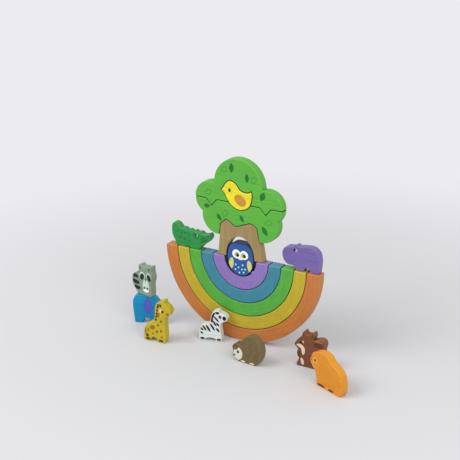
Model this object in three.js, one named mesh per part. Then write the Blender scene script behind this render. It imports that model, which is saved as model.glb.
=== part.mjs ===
// Balancing blocks: a rocking rainbow of nested half rings, a puzzle tree that stands on it and
// flat animals that balance on the rings, on each other and on the floor.
// Millimetres. X runs to the right, Y to the back and Z up. The origin lies on the floor, under
// the middle of the rainbow.
import * as THREE from "three";

// Rainbow
const RAINBOW_RADIUS = 110;
const ARC_WIDTH = 17;
const ARC_PLAY = 0.6;
const RAINBOW_THICKNESS = 14.5;
const RAINBOW_EDGE = 1.5;
const REST_FLAT = 9;

// Fits between blocks
const SEAT_GAP = 0.3;
const SEAM_GAP = 0.4;
const POCKET_GAP = 0.7;
const HOLE_GAP = 0.6;
const OWL_PLAY = 4;

// Tree
const TREE_THICKNESS = 12;
const TREE_EDGE = 1.4;
const TRUNK_X = -0.8;
const ARCH_MARGIN = 1.6;
const ARCH_ROOM = 8.7;
const LEG_WIDTH = 11.7;
const SHOULDER_WALL = 5.8;
const SHOULDER_SHIFT = -1.8;
const SHOULDER_HEIGHT = 41.5;
const RIGHT_SHOULDER_RISE = 3.2;
const VALLEY_DEPTH = 1.4;
const PEAK_RISE = 7;
const PEAK_ROUNDING = 3;
const LOWER_LOBE_RADIUS = 23.5;
const LEFT_LOBE_LIP = 0.8;
const RIGHT_LOBE_LIP = 3.2;
const LOWER_LOBE_DROP = 15.2;
const SEAM_RISE = 30;
const SIDE_LOBE_RADIUS = 22;
const SIDE_LOBE_X = 40;
const SIDE_LOBE_RISE = 0.5;
const DOME_RADIUS = 34.5;
const DOME_RISE = 22.3;
const TOOTH_X = 38.5;
const TOOTH_WIDTH = 15;
const TOOTH_DEPTH = 9.5;
const TOOTH_ROUNDING = 1.6;

// Bird in the crown and owl in the rainbow
const BIRD_LENGTH = 43.6;
const BIRD_HEIGHT = 35.2;
const BIRD_THICKNESS = 13;
const BIRD_X = -4.5;
const BIRD_SINK = 8;
const OWL_RISE = 20;
const OWL_THICKNESS = 13;

// Animals
const ANIMAL_THICKNESS = 10.5;
const ANIMAL_EDGE = 1.3;
const CROCODILE_LENGTH = 58;
const CROCODILE_HEIGHT = 30;
const CROCODILE_SHIFT = -3.5;
const HIPPO_LENGTH = 51;
const HIPPO_HEIGHT = 32.5;
const ELEPHANT_LENGTH = 45;
const ELEPHANT_HEIGHT = 39;
const RACCOON_LENGTH = 35;
const RACCOON_HEIGHT = 42;
const GIRAFFE_LENGTH = 40;
const GIRAFFE_HEIGHT = 59;
const ZEBRA_LENGTH = 38;
const ZEBRA_HEIGHT = 43;
const HEDGEHOG_LENGTH = 44;
const HEDGEHOG_HEIGHT = 38;
const SQUIRREL_LENGTH = 41;
const SQUIRREL_HEIGHT = 47;
const LION_LENGTH = 56;
const LION_HEIGHT = 44.5;

// Places on the floor: middle of each block and its turn about Z in degrees
const FLOOR_PLACES = {
  elephant: { x: -131.5, y: -17.5, turn: 20 },
  giraffe: { x: -88.5, y: -59.5, turn: 4 },
  zebra: { x: -30.5, y: -22, turn: 15 },
  hedgehog: { x: 40.5, y: -55, turn: -4 },
  squirrel: { x: 111.5, y: -27.5, turn: 0 },
  lion: { x: 155.5, y: -67, turn: -22 },
};
const RACCOON_SHIFT = -6.5;
const RACCOON_TURN = -7;

const ARC_CURVE_STEPS = 8;
const LOBE_CURVE_STEPS = 6;
const BODY_CURVE_STEPS = 2;
const EDGE_STEPS = 2;
const CORNER_TURN = 0.7;

const COLOURS = {
  arc_orange: 0xd27a3c,
  arc_yellow: 0xcfb13c,
  arc_green: 0x57b04b,
  arc_blue: 0x3f8aa6,
  arc_purple: 0x9170b8,
  trunk: 0xa58a63,
  crown: 0x5fb54c,
  bird: 0xe6da38,
  owl: 0x345fa6,
  crocodile: 0x3a9457,
  hippo: 0x7763aa,
  elephant: 0x1490bc,
  raccoon: 0x8c9c8e,
  giraffe: 0xcbbf34,
  zebra: 0xdfe6e3,
  hedgehog: 0x6d5b3c,
  squirrel: 0x804c3a,
  lion: 0xdd9432,
};

// Outlines on a unit square, along and up, walked anticlockwise. A run of one point is a straight
// edge to it. A longer run is a smooth curve through its points.
const BIRD_OUTLINE = [
  [[0.081, 0.56], [0.128, 0.49], [0.22, 0.265], [0.406, 0.06], [0.639, 0], [0.872, 0.12], [0.966, 0.34],
    [1, 0.58]],
  [[0.985, 0.73]],
  [[0.88, 0.66], [0.74, 0.655], [0.6, 0.72], [0.478, 0.915], [0.314, 1], [0.17, 0.92], [0.092, 0.77]],
  [[0, 0.63]],
];
const CROCODILE_OUTLINE = [
  [[0.123, 0]],
  [[0.33, 0]],
  [[0.38, 0.045], [0.44, 0.045], [0.49, 0]],
  [[0.693, 0]],
  [[0.789, 0.19], [0.908, 0.36], [0.985, 0.53], [1, 0.66], [0.975, 0.77], [0.92, 0.745]],
  [[0.829, 0.69], [0.77, 0.72], [0.717, 0.79], [0.65, 0.73]],
  [[0.574, 0.8]],
  [[0.53, 0.72]],
  [[0.435, 0.8]],
  [[0.39, 0.735]],
  [[0.303, 0.83]],
  [[0.24, 0.8], [0.2, 0.88], [0.135, 0.985], [0.05, 1], [0, 0.84]],
  [[0.005, 0.5], [0.06, 0.26], [0.123, 0]],
];
const HIPPO_OUTLINE = [
  [[0.384, 0]],
  [[0.568, 0]],
  [[0.61, 0.13], [0.67, 0.165], [0.735, 0.13], [0.779, 0]],
  [[0.965, 0]],
  [[0.985, 0.22], [1, 0.49], [0.968, 0.772], [0.863, 0.945], [0.726, 1], [0.526, 0.965], [0.44, 0.94]],
  [[0.37, 1.0], [0.3, 0.94], [0.274, 0.9], [0.126, 0.882], [0.026, 0.743], [0, 0.555], [0.042, 0.326],
    [0.137, 0.185], [0.295, 0.165], [0.358, 0.12], [0.384, 0]],
];
const ELEPHANT_OUTLINE = [
  [[0.05, 0]],
  [[0.29, 0]],
  [[0.31, 0.13], [0.4, 0.19], [0.49, 0.13], [0.51, 0]],
  [[0.73, 0]],
  [[0.745, 0.18], [0.785, 0.26], [0.825, 0.18], [0.855, 0.06], [0.92, 0.02], [0.985, 0.08]],
  [[0.965, 0.17], [0.985, 0.34], [0.975, 0.5], [0.93, 0.63], [0.85, 0.72], [0.77, 0.79], [0.71, 0.89],
    [0.62, 0.97]],
  [[0.54, 1]],
  [[0.16, 1]],
  [[0.05, 0.92], [0, 0.7], [0.02, 0.34], [0.05, 0]],
];
const RACCOON_OUTLINE = [
  [[0.27, 0]],
  [[0.92, 0]],
  [[0.94, 0.2], [0.93, 0.42], [0.985, 0.56], [1, 0.68], [0.95, 0.84]],
  [[0.955, 0.97], [0.88, 1], [0.79, 0.94]],
  [[0.655, 0.96], [0.52, 0.94]],
  [[0.43, 1], [0.355, 0.97], [0.36, 0.84]],
  [[0.31, 0.74], [0.3, 0.64]],
  [[0.2, 0.69], [0.07, 0.63], [0, 0.46], [0.05, 0.26], [0.17, 0.13], [0.27, 0]],
];
const GIRAFFE_OUTLINE = [
  [[0.014, 0]],
  [[0.239, 0]],
  [[0.28, 0.08], [0.369, 0.107], [0.46, 0.08], [0.499, 0]],
  [[0.751, 0]],
  [[0.783, 0.15], [0.783, 0.3], [0.77, 0.48], [0.785, 0.62]],
  [[0.883, 0.635], [0.97, 0.69], [0.998, 0.775], [0.94, 0.86], [0.84, 0.915], [0.79, 0.945]],
  [[0.79, 0.995]],
  [[0.69, 0.995]],
  [[0.67, 0.955], [0.58, 0.945], [0.49, 0.89], [0.445, 0.8], [0.427, 0.644], [0.383, 0.49], [0.21, 0.435],
    [0.062, 0.33], [0.006, 0.17], [0.014, 0]],
];
const ZEBRA_OUTLINE = [
  [[0.016, 0]],
  [[0.21, 0]],
  [[0.25, 0.075], [0.41, 0.1], [0.57, 0.075], [0.61, 0]],
  [[0.784, 0]],
  [[0.79, 0.194], [0.755, 0.42], [0.77, 0.58]],
  [[0.87, 0.645], [0.97, 0.68], [1, 0.755], [0.955, 0.835], [0.814, 0.9], [0.76, 0.92]],
  [[0.7, 1], [0.62, 0.965]],
  [[0.51, 0.935], [0.435, 0.79], [0.395, 0.6], [0.304, 0.528], [0.137, 0.51], [0.03, 0.385], [0, 0.178],
    [0.016, 0]],
];
const HEDGEHOG_OUTLINE = [
  [[0.225, 0]],
  [[0.775, 0]],
  [[0.907, 0.165], [0.99, 0.42], [0.97, 0.68], [0.85, 0.885], [0.653, 1], [0.449, 0.91], [0.314, 0.72],
    [0.235, 0.585]],
  [[0.15, 0.62], [0.05, 0.56], [0.01, 0.45], [0.04, 0.31], [0.02, 0.2], [0.07, 0.11], [0.16, 0.085],
    [0.225, 0]],
];
const SQUIRREL_OUTLINE = [
  [[0.08, 0]],
  [[0.76, 0]],
  [[0.88, 0.12], [0.95, 0.32], [0.955, 0.55], [1, 0.72], [0.95, 0.83], [0.84, 0.855], [0.72, 0.83]],
  [[0.625, 0.8]],
  [[0.655, 0.93], [0.6, 1], [0.52, 0.93]],
  [[0.42, 0.915], [0.36, 0.93]],
  [[0.335, 1], [0.275, 0.97], [0.245, 0.87]],
  [[0.1, 0.74], [0, 0.61], [0.03, 0.54], [0.11, 0.475]],
  [[0.075, 0.38], [0.09, 0.28], [0.15, 0.21], [0.1, 0.12], [0.055, 0.05], [0.08, 0]],
];
const LION_OUTLINE = [
  [[0.215, 0]],
  [[0.94, 0]],
  [[1, 0.15], [1, 0.395], [0.97, 0.565], [0.89, 0.69], [0.76, 0.775], [0.65, 0.83]],
  [[0.58, 0.93], [0.5, 0.985], [0.4, 1], [0.28, 0.975], [0.16, 0.93], [0.08, 0.865]],
  [[0.05, 0.79], [0.04, 0.73], [0, 0.67]],
  [[0.01, 0.6], [0.08, 0.49], [0.16, 0.385], [0.2, 0.21], [0.215, 0]],
];

/** Shape of a block from an outline on the unit square. It is centred along X and stands on zero. */
function bodyShape(runs, length, height) {
  const place = ([along, up]) => new THREE.Vector2((along - 0.5) * length, up * height);
  const shape = new THREE.Shape();
  const start = place(runs.at(-1).at(-1));
  shape.moveTo(start.x, start.y);
  for (const run of runs) {
    const points = run.map(place);
    if (points.length === 1) {
      shape.lineTo(points[0].x, points[0].y);
    } else {
      shape.splineThru(points);
    }
  }
  return shape;
}

/** Half of a ring with its open side up. The outside can have a narrow flat at the bottom. */
function halfRingShape(outer, inner, flat) {
  const bottom = 1.5 * Math.PI;
  const flatAngle = Math.asin(flat / 2 / outer);
  const shape = new THREE.Shape();
  shape.absarc(0, 0, outer, Math.PI, bottom - flatAngle, false);
  shape.absarc(0, 0, outer, bottom + flatAngle, 2 * Math.PI, false);
  shape.absarc(0, 0, inner, 2 * Math.PI, bottom, true);
  shape.absarc(0, 0, inner, bottom, Math.PI, true);
  return shape;
}

/** Adds straight edges through the given corners, each corner rounded off. */
function roundedRun(path, corners, rounding) {
  corners.forEach((corner, index) => {
    const next = corners[index + 1];
    if (!next) {
      path.lineTo(corner.x, corner.y);
      return;
    }
    const before = path.currentPoint.clone().sub(corner).setLength(rounding).add(corner);
    const after = next.clone().sub(corner).setLength(rounding).add(corner);
    path.lineTo(before.x, before.y);
    path.quadraticCurveTo(corner.x, corner.y, after.x, after.y);
  });
}

/** Closed list of points moved outwards by a clearance, edge by edge. */
function grow(points, clearance) {
  const count = points.length;
  return points.map((point, index) => {
    const into = point.clone().sub(points[(index + count - 1) % count]).normalize();
    const out = points[(index + 1) % count].clone().sub(point).normalize();
    const normal = new THREE.Vector2(into.y + out.y, -into.x - out.x).normalize();
    const spread = Math.max(0.5, normal.x * out.y - normal.y * out.x);
    return point.clone().addScaledVector(normal, clearance / spread);
  });
}

/** Stretch of a closed list of points around its farthest one beyond a level, with its ends on that level. */
function stretchBeyond(points, level, side) {
  const count = points.length;
  const at = (index) => points[(index + 2 * count) % count];
  const beyond = (index) => (at(index).y - level) * side > 0;
  const crossing = (a, b) => a.clone().lerp(b, (level - a.y) / (b.y - a.y));
  const farther = (best, point, index) => ((point.y - at(best).y) * side > 0 ? index : best);
  const farthest = points.reduce(farther, 0);
  let first = farthest;
  while (beyond(first - 1)) {
    first -= 1;
  }
  let last = farthest;
  while (beyond(last + 1)) {
    last += 1;
  }
  const stretch = [crossing(at(first - 1), at(first))];
  for (let index = first; index <= last; index += 1) {
    stretch.push(at(index));
  }
  stretch.push(crossing(at(last), at(last + 1)));
  return stretch;
}

/** Where two circles cross, on the right-hand side of the line from the first to the second. */
function circleCrossing(a, b) {
  const span = b.centre.clone().sub(a.centre);
  const distance = span.length();
  const reach = (a.radius ** 2 - b.radius ** 2 + distance ** 2) / (2 * distance);
  const offset = Math.sqrt(a.radius ** 2 - reach ** 2);
  span.normalize();
  const middle = a.centre.clone().addScaledVector(span, reach);
  return middle.add(new THREE.Vector2(span.y, -span.x).multiplyScalar(offset));
}

/** Angle by which a closed list of points turns at one of them. */
function turnAt(points, index) {
  const into = points[index].clone().sub(points.at(index - 1));
  const out = points[(index + 1) % points.length].clone().sub(points[index]);
  return Math.abs(Math.atan2(into.cross(out), into.dot(out)));
}

/** Points without doubled ones, straight-through ones and those too near a corner to round its edge. */
function distinct(points, edge) {
  const apart = points.filter((point, index) => point.distanceTo(points.at(index - 1)) > 0.02);
  const isCorner = apart.map((point, index) => turnAt(apart, index) > CORNER_TURN);
  return apart.filter((point, index) => {
    const next = (index + 1) % apart.length;
    const crowded = [index - 1, next].some(
      (other) => isCorner.at(other) && point.distanceTo(apart.at(other)) < 2 * edge,
    );
    return isCorner[index] || (turnAt(apart, index) > 1e-4 && !crowded);
  });
}

/** Points along a shape's outline, anticlockwise, for a block with rounded-over edges. */
function sampled(shape, steps, edge) {
  const points = distinct(shape.getPoints(steps), edge);
  return THREE.ShapeUtils.isClockWise(points) ? points.reverse() : points;
}

/** One wooden block: an upright slab with rounded-over edges, centred on the XZ plane. */
function block(name, points, thickness, edge, colour) {
  const geometry = new THREE.ExtrudeGeometry(new THREE.Shape(points), {
    depth: thickness - 2 * edge,
    bevelThickness: edge,
    bevelSize: edge,
    bevelOffset: -edge,
    bevelSegments: EDGE_STEPS,
  });
  geometry.translate(0, 0, edge - thickness / 2);
  geometry.rotateX(Math.PI / 2);
  const material = new THREE.MeshStandardMaterial({ color: colour, roughness: 0.5, metalness: 0 });
  const mesh = new THREE.Mesh(geometry, material);
  mesh.name = name;
  return mesh;
}

/** Radii of the ring at a place in the nest, counted from the outside. */
function ringRadii(place) {
  const outer = RAINBOW_RADIUS - place * (ARC_WIDTH + ARC_PLAY);
  return { outer, inner: outer - ARC_WIDTH };
}

const RING_NAMES = ["arc_orange", "arc_yellow", "arc_green", "arc_blue", "arc_purple"];
const RING_CENTRE = Math.sqrt(RAINBOW_RADIUS ** 2 - (REST_FLAT / 2) ** 2);
const HOLE_RADIUS = ringRadii(RING_NAMES.length - 1).inner;
const OWL_HALF = HOLE_RADIUS - OWL_PLAY;
const ARCH_HALF = OWL_HALF + ARCH_MARGIN;
const SHOULDER_HALF = ARCH_HALF + SHOULDER_WALL;
const CROWN_X = TRUNK_X + SHOULDER_SHIFT;

/** The nested half rings. Only the largest one has the flat that it stands on. */
function rainbow() {
  return RING_NAMES.map((name, place) => {
    const { outer, inner } = ringRadii(place);
    const shape = halfRingShape(outer, inner, place === 0 ? REST_FLAT : 0);
    const points = sampled(shape, ARC_CURVE_STEPS, RAINBOW_EDGE);
    const ring = block(name, points, RAINBOW_THICKNESS, RAINBOW_EDGE, COLOURS[name]);
    ring.position.z = RING_CENTRE;
    return ring;
  });
}

/** Trunk outline: two legs, the arch between them and two peaks on top. Zero is its standing level. */
function trunkShape() {
  const archHeight = OWL_RISE + ARCH_ROOM;
  const footHalf = ARCH_HALF + LEG_WIDTH;
  const peak = SHOULDER_HEIGHT + PEAK_RISE;
  const top = (share, height) => new THREE.Vector2(SHOULDER_SHIFT + share * SHOULDER_HALF, height);
  const shape = new THREE.Shape();
  shape.moveTo(-footHalf, 0);
  shape.lineTo(-ARCH_HALF, 0);
  shape.absellipse(0, 0, ARCH_HALF, archHeight, Math.PI, Math.PI / 2, true, 0);
  shape.absellipse(0, 0, ARCH_HALF, archHeight, Math.PI / 2, 0, true, 0);
  shape.lineTo(footHalf, 0);
  roundedRun(shape, [
    top(1, SHOULDER_HEIGHT + RIGHT_SHOULDER_RISE),
    top(0.65, peak),
    top(-0.17, SHOULDER_HEIGHT - VALLEY_DEPTH),
    top(-0.66, peak),
    top(-1, SHOULDER_HEIGHT),
    new THREE.Vector2(-footHalf, 0),
  ], PEAK_ROUNDING);
  return shape;
}

/** The crown's five rounded lobes, walked anticlockwise from the bottom of the right lower one. */
function crownPoints(seam, socketRight, socketLeft) {
  const lobe = (x, y, radius) => ({ centre: new THREE.Vector2(x, y), radius });
  const lowerY = socketRight.y + LOWER_LOBE_RADIUS;
  const right = lobe(socketRight.x + RIGHT_LOBE_LIP, lowerY, LOWER_LOBE_RADIUS);
  const rightSide = lobe(CROWN_X + SIDE_LOBE_X, seam + SIDE_LOBE_RISE, SIDE_LOBE_RADIUS);
  const dome = lobe(CROWN_X, seam + DOME_RISE, DOME_RADIUS);
  const leftSide = lobe(CROWN_X - SIDE_LOBE_X, seam + SIDE_LOBE_RISE, SIDE_LOBE_RADIUS);
  const left = lobe(socketLeft.x - LEFT_LOBE_LIP, lowerY, LOWER_LOBE_RADIUS);
  const lobes = [right, rightSide, dome, leftSide, left];
  const angle = (from, to) => to.clone().sub(from.centre).angle();
  const outline = new THREE.Path();
  let start = right.centre.clone().add(new THREE.Vector2(0, -right.radius));
  lobes.forEach((current, index) => {
    const next = lobes[index + 1];
    const lowest = current.centre.clone().add(new THREE.Vector2(0, -current.radius));
    const end = next ? circleCrossing(current, next) : lowest;
    const { centre, radius } = current;
    outline.absarc(centre.x, centre.y, radius, angle(current, start), angle(current, end), false);
    start = end;
  });
  return outline.getPoints(LOBE_CURVE_STEPS);
}

/** The line that divides the crown, from left to right, with a tooth on each side of the bird. */
function seamPoints(from, to, level) {
  const path = new THREE.Path();
  path.moveTo(from, level);
  for (const middle of [CROWN_X - TOOTH_X, CROWN_X + TOOTH_X]) {
    if (middle - TOOTH_WIDTH / 2 > from && middle + TOOTH_WIDTH / 2 < to) {
      roundedRun(path, [
        new THREE.Vector2(middle - TOOTH_WIDTH / 2, level),
        new THREE.Vector2(middle, level - TOOTH_DEPTH),
        new THREE.Vector2(middle + TOOTH_WIDTH / 2, level),
        new THREE.Vector2(middle + TOOTH_WIDTH / 2 + 2 * TOOTH_ROUNDING, level),
      ], TOOTH_ROUNDING);
    }
  }
  path.lineTo(to, level);
  return path.getPoints(2);
}

/** The tree and its bird. All parts of its joints come from the same outlines and clearances. */
function tree() {
  const trunkPoints = sampled(trunkShape(), BODY_CURVE_STEPS + 1, TREE_EDGE);
  for (const point of trunkPoints) {
    point.x += TRUNK_X;
  }
  const skirt = SHOULDER_HEIGHT - LOWER_LOBE_DROP;
  const socket = stretchBeyond(grow(trunkPoints, SEAM_GAP), skirt, 1);
  const seam = SHOULDER_HEIGHT + SEAM_RISE;
  const birdShape = bodyShape(BIRD_OUTLINE, BIRD_LENGTH, BIRD_HEIGHT);
  const birdPoints = sampled(birdShape, BODY_CURVE_STEPS, ANIMAL_EDGE);
  const birdSeat = new THREE.Vector2(BIRD_X, seam - BIRD_SINK);
  const pocket = grow(birdPoints, POCKET_GAP).map((point) => point.add(birdSeat));
  const lobes = crownPoints(seam, socket[0], socket.at(-1));

  const halves = [1, -1].map((side) => {
    const level = side > 0 ? seam : seam - SEAM_GAP;
    const nest = stretchBeyond(pocket, level, side);
    const [nestLeft, nestRight] = [nest[0], nest.at(-1)].sort((a, b) => a.x - b.x);
    const outside = stretchBeyond(lobes, level, side);
    const [rimLeft, rimRight] = [outside[0], outside.at(-1)].sort((a, b) => a.x - b.x);
    const leftSeam = seamPoints(rimLeft.x, nestLeft.x, level);
    const rightSeam = seamPoints(nestRight.x, rimRight.x, level);
    const across = nest[0] === nestLeft ? nest : nest.toReversed();
    return { outside, division: [...leftSeam, ...across, ...rightSeam] };
  });

  const [upper, lower] = halves;
  const upperPoints = distinct([...upper.division, ...upper.outside], TREE_EDGE);

  const lowerRound = [...lower.outside, ...lower.division.toReversed()];
  lowerRound.splice(lowerRound.indexOf(lobes.at(-1)) + 1, 0, ...socket.toReversed());
  const lowerPoints = distinct(lowerRound, TREE_EDGE);

  const pieces = [
    block("trunk", trunkPoints, TREE_THICKNESS, TREE_EDGE, COLOURS.trunk),
    block("crown_lower", lowerPoints, TREE_THICKNESS, TREE_EDGE, COLOURS.crown),
    block("crown_upper", upperPoints, TREE_THICKNESS, TREE_EDGE, COLOURS.crown),
  ];
  const bird = block("bird", birdPoints, BIRD_THICKNESS, ANIMAL_EDGE, COLOURS.bird);
  bird.position.set(birdSeat.x, 0, birdSeat.y);
  pieces.push(bird);
  for (const piece of pieces) {
    piece.position.z += RING_CENTRE + SEAT_GAP;
  }
  return pieces;
}

/** The owl: round below, to stand in the rainbow's hole, and squarer above, under the trunk's arch. */
function owl() {
  const flatHalf = 0.36 * OWL_HALF;
  const cheek = 0.78 * OWL_HALF;
  const brow = 0.62 * OWL_RISE;
  const shape = new THREE.Shape();
  shape.absellipse(0, 0, OWL_HALF, HOLE_RADIUS - HOLE_GAP, Math.PI, 2 * Math.PI, false, 0);
  shape.bezierCurveTo(OWL_HALF, brow, cheek, OWL_RISE, flatHalf, OWL_RISE);
  shape.lineTo(-flatHalf, OWL_RISE);
  shape.bezierCurveTo(-cheek, OWL_RISE, -OWL_HALF, brow, -OWL_HALF, 0);
  const points = sampled(shape, ARC_CURVE_STEPS, ANIMAL_EDGE);
  const piece = block("owl", points, OWL_THICKNESS, ANIMAL_EDGE, COLOURS.owl);
  piece.position.z = RING_CENTRE;
  return piece;
}

/** Middle of the part of an outline that stands on its level, as a share of the length from the middle. */
function footMiddle(runs) {
  const feet = runs.flat().filter(([, up]) => up === 0).map(([along]) => along);
  return (Math.min(...feet) + Math.max(...feet)) / 2 - 0.5;
}

/** One flat animal of the common thickness. */
function animal(name, runs, length, height) {
  const points = sampled(bodyShape(runs, length, height), BODY_CURVE_STEPS, ANIMAL_EDGE);
  return block(name, points, ANIMAL_THICKNESS, ANIMAL_EDGE, COLOURS[name]);
}

/** The two animals on the ends of the rings, each across the joint between two of them. */
function ringRiders() {
  const jointRadius = (place) => ringRadii(place).inner - ARC_PLAY / 2;
  const crocodile = animal("crocodile", CROCODILE_OUTLINE, CROCODILE_LENGTH, CROCODILE_HEIGHT);
  crocodile.position.x = CROCODILE_SHIFT - jointRadius(1) - footMiddle(CROCODILE_OUTLINE) * CROCODILE_LENGTH;
  const hippo = animal("hippo", HIPPO_OUTLINE, HIPPO_LENGTH, HIPPO_HEIGHT);
  hippo.position.x = jointRadius(0) - footMiddle(HIPPO_OUTLINE) * HIPPO_LENGTH;
  for (const rider of [crocodile, hippo]) {
    rider.position.z = RING_CENTRE + SEAT_GAP;
  }
  return [crocodile, hippo];
}

/** The animals that stand on the floor, and the raccoon on the elephant's back. */
function floorAnimals() {
  const standing = [
    animal("elephant", ELEPHANT_OUTLINE, ELEPHANT_LENGTH, ELEPHANT_HEIGHT),
    animal("giraffe", GIRAFFE_OUTLINE, GIRAFFE_LENGTH, GIRAFFE_HEIGHT),
    animal("zebra", ZEBRA_OUTLINE, ZEBRA_LENGTH, ZEBRA_HEIGHT),
    animal("hedgehog", HEDGEHOG_OUTLINE, HEDGEHOG_LENGTH, HEDGEHOG_HEIGHT),
    animal("squirrel", SQUIRREL_OUTLINE, SQUIRREL_LENGTH, SQUIRREL_HEIGHT),
    animal("lion", LION_OUTLINE, LION_LENGTH, LION_HEIGHT),
  ];
  for (const piece of standing) {
    const place = FLOOR_PLACES[piece.name];
    piece.position.set(place.x, place.y, 0);
    piece.rotation.z = THREE.MathUtils.degToRad(place.turn);
  }
  const elephant = FLOOR_PLACES.elephant;
  const heading = THREE.MathUtils.degToRad(elephant.turn);
  const raccoon = animal("raccoon", RACCOON_OUTLINE, RACCOON_LENGTH, RACCOON_HEIGHT);
  raccoon.position.set(
    elephant.x + RACCOON_SHIFT * Math.cos(heading),
    elephant.y + RACCOON_SHIFT * Math.sin(heading),
    ELEPHANT_HEIGHT + SEAT_GAP,
  );
  raccoon.rotation.z = THREE.MathUtils.degToRad(RACCOON_TURN);
  return [...standing, raccoon];
}

const part = new THREE.Group();
part.name = "balancing_block";
part.add(...rainbow(), ...tree(), owl(), ...ringRiders(), ...floorAnimals());

export default part;
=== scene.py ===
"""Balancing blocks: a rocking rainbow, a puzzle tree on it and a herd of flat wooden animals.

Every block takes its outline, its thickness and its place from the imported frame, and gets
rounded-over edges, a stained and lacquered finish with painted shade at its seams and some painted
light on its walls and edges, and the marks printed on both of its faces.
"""

import logging
import math
from collections.abc import Iterable
from dataclasses import dataclass, field
from enum import Enum

import bmesh
import bpy
from mathutils import Matrix, Vector
from mathutils.bvhtree import BVHTree


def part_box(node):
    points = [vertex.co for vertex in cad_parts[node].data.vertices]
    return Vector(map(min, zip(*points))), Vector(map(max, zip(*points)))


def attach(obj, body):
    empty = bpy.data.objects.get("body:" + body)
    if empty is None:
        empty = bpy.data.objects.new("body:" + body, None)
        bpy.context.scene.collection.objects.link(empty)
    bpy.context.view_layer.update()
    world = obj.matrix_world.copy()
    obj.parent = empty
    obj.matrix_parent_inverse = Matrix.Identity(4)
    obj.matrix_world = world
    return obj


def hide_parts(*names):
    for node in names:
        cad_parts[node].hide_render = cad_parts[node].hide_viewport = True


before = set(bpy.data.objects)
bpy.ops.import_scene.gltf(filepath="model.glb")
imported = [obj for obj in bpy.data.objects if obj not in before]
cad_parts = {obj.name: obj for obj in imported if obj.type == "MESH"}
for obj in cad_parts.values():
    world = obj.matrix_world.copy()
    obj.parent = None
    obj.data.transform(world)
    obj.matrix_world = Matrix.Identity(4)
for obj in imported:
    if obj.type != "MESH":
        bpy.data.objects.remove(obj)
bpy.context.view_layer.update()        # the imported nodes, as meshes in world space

Point = tuple[float, float]
Rgb = tuple[int, int, int]
Linear = tuple[float, float, float, float]
Socket = bpy.types.NodeSocket
Inputs = dict[str | int, object]

MM = 0.001
WELD = 0.001 * MM
UP = Vector((0.0, 0.0, 1.0))
BARE_WOOD: Rgb = (236, 214, 178)
SPECULAR = 0.26

log = logging.getLogger("balancing_blocks")


def linear(colour: Rgb, factor: float = 1.0) -> Linear:
    """Turns a display colour into the shader's linear one, along the usual sRGB curve.

    Args:
        colour: Red, green and blue from 0 to 255, as they look on a screen.
        factor: Multiplies the linear colour, to shade or tint it.

    Returns:
        Linear red, green, blue and an alpha of one.
    """
    channels = []
    for value in colour:
        share = value / 255
        straight = share / 12.92 if share <= 0.04045 else ((share + 0.055) / 1.055) ** 2.4
        channels.append(min(1.0, straight * factor))
    return (channels[0], channels[1], channels[2], 1.0)


class ShaderSheet:
    """The nodes of a material or of the sky, laid out through a few short calls."""

    def __init__(self, owner: bpy.types.Material | bpy.types.World) -> None:
        """Opens the owner's nodes."""
        owner.use_nodes = True
        self.tree = owner.node_tree

    def feed(self, node: bpy.types.Node, inputs: Inputs) -> None:
        """Joins sockets to the inputs of a node, or sets plain values there.

        Args:
            node: The node.
            inputs: Sockets and values, by the names or numbers of the inputs.
        """
        for key, value in inputs.items():
            if isinstance(value, Socket):
                self.tree.links.new(value, node.inputs[key])
            else:
                node.inputs[key].default_value = value

    def add(self, kind: str, inputs: Inputs | None = None, **settings: object) -> bpy.types.Node:
        """Adds a node.

        Args:
            kind: Blender's type name of the node.
            inputs: Sockets and values for its inputs.
            settings: Properties of the node to set.

        Returns:
            The new node.
        """
        node = self.tree.nodes.new(kind)
        for key, value in settings.items():
            setattr(node, key, value)
        self.feed(node, inputs or {})
        return node

    def coords(self) -> Socket:
        """Gives the piece's own coordinates."""
        return self.add("ShaderNodeTexCoord").outputs["Object"]

    def noise(self, vector: Socket, scale: float, detail: float = 2.0) -> Socket:
        """Adds a noise pattern, with its cycles per unit and its octaves."""
        inputs = {"Vector": vector, "Scale": scale, "Detail": detail}
        return self.add("ShaderNodeTexNoise", inputs).outputs["Fac"]

    def ramp(self, value: Socket, stops: list[tuple[float, Linear]]) -> Socket:
        """Adds a colour ramp.

        Args:
            value: What the ramp reads.
            stops: Places on the ramp with their linear colours.

        Returns:
            The ramp's colour.
        """
        node = self.add("ShaderNodeValToRGB", {"Fac": value})
        elements = node.color_ramp.elements
        while len(elements) < len(stops):
            elements.new(0.5)
        for element, (place, colour) in zip(elements, stops):
            element.position = place
            element.color = colour
        return node.outputs["Color"]

    def level(self, value: Socket, stops: Iterable[Point]) -> Socket:
        """Adds a ramp of grey levels, from places on the ramp with their levels."""
        return self.ramp(value, [(place, (grey, grey, grey, 1.0)) for place, grey in stops])

    def math(self, kind: str, a: Socket, b: Socket | float) -> Socket:
        """Adds a sum on two values, by Blender's name of the operation."""
        return self.add("ShaderNodeMath", {0: a, 1: b}, operation=kind).outputs[0]

    def times(self, a: Socket, b: Socket | float) -> Socket:
        """Multiplies two values."""
        return self.math("MULTIPLY", a, b)

    def mix(self, share: Socket, a: Socket, b: Linear) -> Socket:
        """Lays a share of a linear colour over a pattern."""
        inputs = {"Factor": share, "A": a, "B": b}
        return self.add("ShaderNodeMix", inputs, data_type="RGBA").outputs["Result"]

    def bump(self, height: Socket, strength: float, distance: float) -> Socket:
        """Turns a pattern into relief, with a share of its effect and its height in metres."""
        inputs = {"Height": height, "Strength": strength, "Distance": distance}
        return self.add("ShaderNodeBump", inputs).outputs["Normal"]

    def seen(self) -> Socket:
        """Gives one where the camera or a reflection looks, and zero elsewhere."""
        path = self.add("ShaderNodeLightPath").outputs
        return self.math("MAXIMUM", path["Is Camera Ray"], path["Is Glossy Ray"])


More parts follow.
